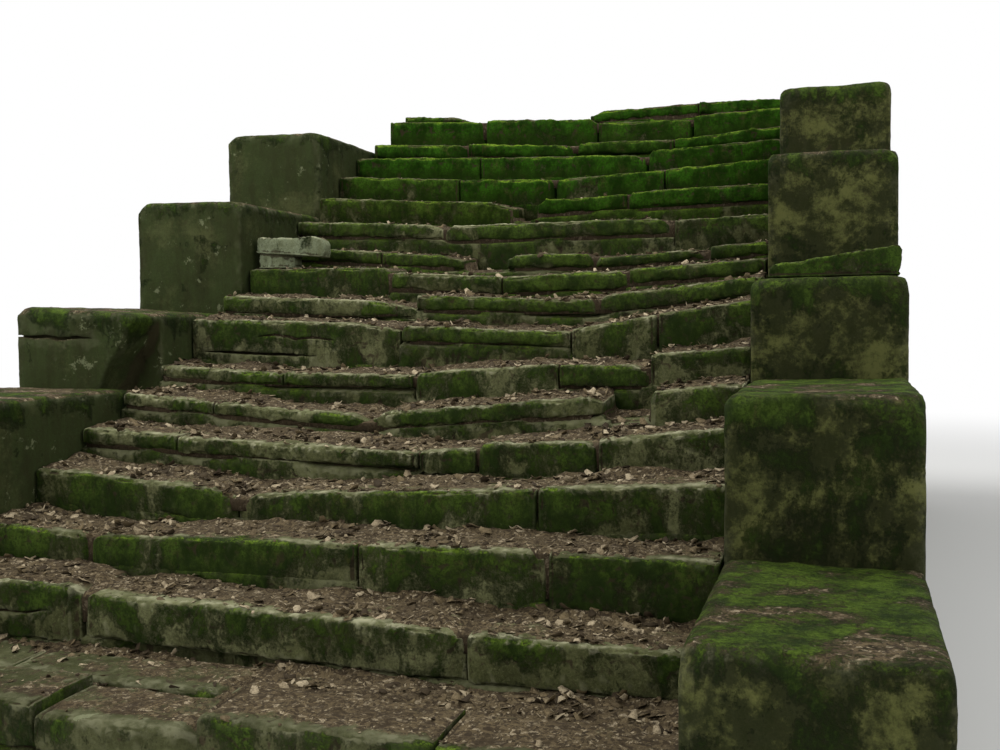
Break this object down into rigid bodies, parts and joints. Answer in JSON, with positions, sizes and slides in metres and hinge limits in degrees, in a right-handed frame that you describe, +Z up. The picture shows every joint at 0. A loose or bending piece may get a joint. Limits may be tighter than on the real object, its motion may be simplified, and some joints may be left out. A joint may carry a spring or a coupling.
{
  "type": "outdoor stone steps",
  "caption": "Weathered, sagging flight of outdoor stone steps with worn, chipped treads on rubble courses between stepped masonry cheek blocks",
  "frame": {"origin": "On the floor in the middle of the base, midway between the front of the lowest cheeks and the rear face, on the centre line of the clear width", "axes": "+Z up, the flight climbs towards +Y, +X to the right when facing up the steps"},
  "size_m": [4.2, 5.9588, 2.9255],
  "materials": {
    "tread_stone": "rough, mossy",
    "course_stone": "rough",
    "cheek_masonry": "rough render",
    "cap_stone": "rough, mossy",
    "loose_stone": "rough"
  },
  "bodies": {
    "root": {"step_01": "tread_stone", "step_02": "tread_stone", "step_03": "tread_stone", "step_04": "tread_stone", "step_05": "tread_stone", "step_06": "tread_stone", "step_07": "tread_stone", "step_08": "tread_stone", "step_09": "tread_stone", "step_10": "tread_stone", "step_11": "tread_stone", "step_12": "tread_stone", "step_13": "tread_stone", "step_14": "tread_stone", "step_15": "tread_stone", "step_16": "tread_stone", "step_17": "tread_stone", "step_18": "tread_stone", "course_01": "course_stone", "course_02": "course_stone", "course_03": "course_stone", "course_04": "course_stone", "course_05": "course_stone", "course_06": "course_stone", "course_07": "course_stone", "course_08": "course_stone", "course_09": "course_stone", "course_10": "course_stone", "course_11": "course_stone", "course_12": "course_stone", "course_13": "course_stone", "course_14": "course_stone", "course_15": "course_stone", "course_16": "course_stone", "course_17": "course_stone", "course_18": "course_stone", "cheek_right_1": "cheek_masonry", "cheek_right_2": "cheek_masonry", "cheek_right_3": "cheek_masonry", "cheek_right_4": "cheek_masonry", "cheek_right_5": "cheek_masonry", "cheek_left_1": "cheek_masonry", "cheek_left_2": "cheek_masonry", "cheek_left_3": "cheek_masonry", "cheek_left_4": "cheek_masonry", "cheek_left_5": "cheek_masonry", "cap_stone_right": "cap_stone", "loose_slab_left": "loose_stone"}
  },
  "joints": []
}
